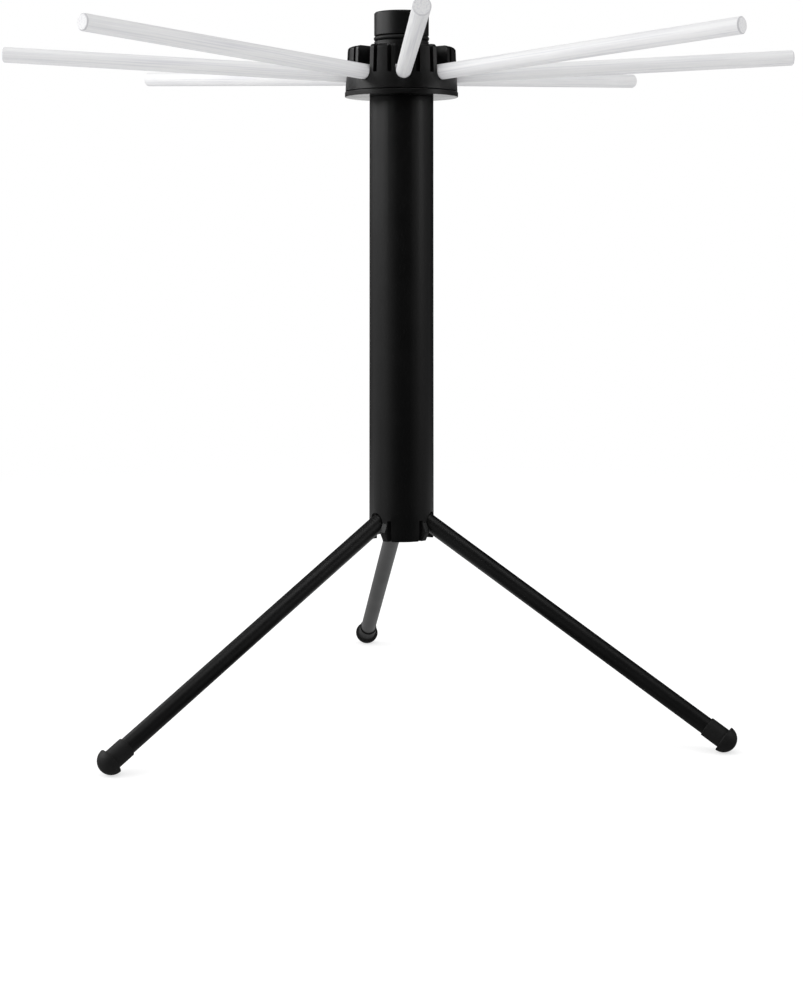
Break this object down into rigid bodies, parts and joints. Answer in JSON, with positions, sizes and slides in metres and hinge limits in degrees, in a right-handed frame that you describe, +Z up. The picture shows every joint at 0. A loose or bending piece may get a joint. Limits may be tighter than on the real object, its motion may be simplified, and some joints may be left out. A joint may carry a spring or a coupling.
{
  "type": "pasta drying rack",
  "caption": "Tabletop drying rack: white rods hinge from a lift-off black hub on a hollow column with fold-out tripod legs and rubber feet.",
  "frame": {"origin": "on the table under the column's axis", "axes": "+Z up along the column; rod_1 points along -Y and rod_3 along +X"},
  "size_m": [0.4932, 0.4932, 0.4498],
  "materials": {
    "black_plastic": "satin",
    "white_plastic": "satin",
    "black_rubber": "matt"
  },
  "bodies": {
    "stand": {"tube": "black_plastic", "neck_post": "black_plastic", "o_ring": "black_rubber"},
    "hub_base": {"hub_base_ring": "black_plastic"},
    "hub": {"hub_crown": "black_plastic"},
    "rod_1_body": {"rod_1": "white_plastic"},
    "rod_2_body": {"rod_2": "white_plastic"},
    "rod_3_body": {"rod_3": "white_plastic"},
    "rod_4_body": {"rod_4": "white_plastic"},
    "rod_5_body": {"rod_5": "white_plastic"},
    "rod_6_body": {"rod_6": "white_plastic"},
    "rod_7_body": {"rod_7": "white_plastic"},
    "rod_8_body": {"rod_8": "white_plastic"},
    "leg_1_body": {"leg_1": "black_plastic", "foot_1": "black_rubber"},
    "leg_2_body": {"leg_2": "black_plastic", "foot_2": "black_rubber"},
    "leg_3_body": {"leg_3": "black_plastic", "foot_3": "black_rubber"}
  },
  "joints": [
    {"name": "hub_lift", "type": "slide", "parent": "stand", "child": "hub_base", "axis": [0, 0, 1], "range_m": [0, 0.06]},
    {"name": "hub_swivel", "type": "hinge", "parent": "hub_base", "child": "hub", "pos_m": [0, 0, 0.4019], "axis": [0, 0, 1], "continuous": true},
    {"name": "rod_1_fold", "type": "hinge", "parent": "hub", "child": "rod_1_body", "pos_m": [0, -0.0241, 0.4143], "axis": [-1, 0, 0], "range_deg": [0, 86.93]},
    {"name": "rod_2_fold", "type": "hinge", "parent": "hub", "child": "rod_2_body", "pos_m": [0.01704, -0.01704, 0.4143], "axis": [-0.7071, -0.7071, 0], "range_deg": [0, 86.93]},
    {"name": "rod_3_fold", "type": "hinge", "parent": "hub", "child": "rod_3_body", "pos_m": [0.0241, 0, 0.4143], "axis": [0, -1, 0], "range_deg": [0, 86.93]},
    {"name": "rod_4_fold", "type": "hinge", "parent": "hub", "child": "rod_4_body", "pos_m": [0.01704, 0.01704, 0.4143], "axis": [0.7071, -0.7071, 0], "range_deg": [0, 86.93]},
    {"name": "rod_5_fold", "type": "hinge", "parent": "hub", "child": "rod_5_body", "pos_m": [0, 0.0241, 0.4143], "axis": [1, 0, 0], "range_deg": [0, 86.93]},
    {"name": "rod_6_fold", "type": "hinge", "parent": "hub", "child": "rod_6_body", "pos_m": [-0.01704, 0.01704, 0.4143], "axis": [0.7071, 0.7071, 0], "range_deg": [0, 86.93]},
    {"name": "rod_7_fold", "type": "hinge", "parent": "hub", "child": "rod_7_body", "pos_m": [-0.0241, 0, 0.4143], "axis": [0, 1, 0], "range_deg": [0, 86.93]},
    {"name": "rod_8_fold", "type": "hinge", "parent": "hub", "child": "rod_8_body", "pos_m": [-0.01704, -0.01704, 0.4143], "axis": [-0.7071, 0.7071, 0], "range_deg": [0, 86.93]},
    {"name": "leg_1_fold", "type": "hinge", "parent": "stand", "child": "leg_1_body", "pos_m": [-0.00154, 0.01793, 0.13115], "axis": [0.9963, 0.0854, 0], "range_deg": [-57.9, 0]},
    {"name": "leg_2_fold", "type": "hinge", "parent": "stand", "child": "leg_2_body", "pos_m": [-0.01476, -0.0103, 0.13115], "axis": [-0.5721, 0.8202, 0], "range_deg": [-57.9, 0]},
    {"name": "leg_3_fold", "type": "hinge", "parent": "stand", "child": "leg_3_body", "pos_m": [0.0163, -0.00764, 0.13115], "axis": [-0.4242, -0.9056, 0], "range_deg": [-57.9, 0]}
  ]
}
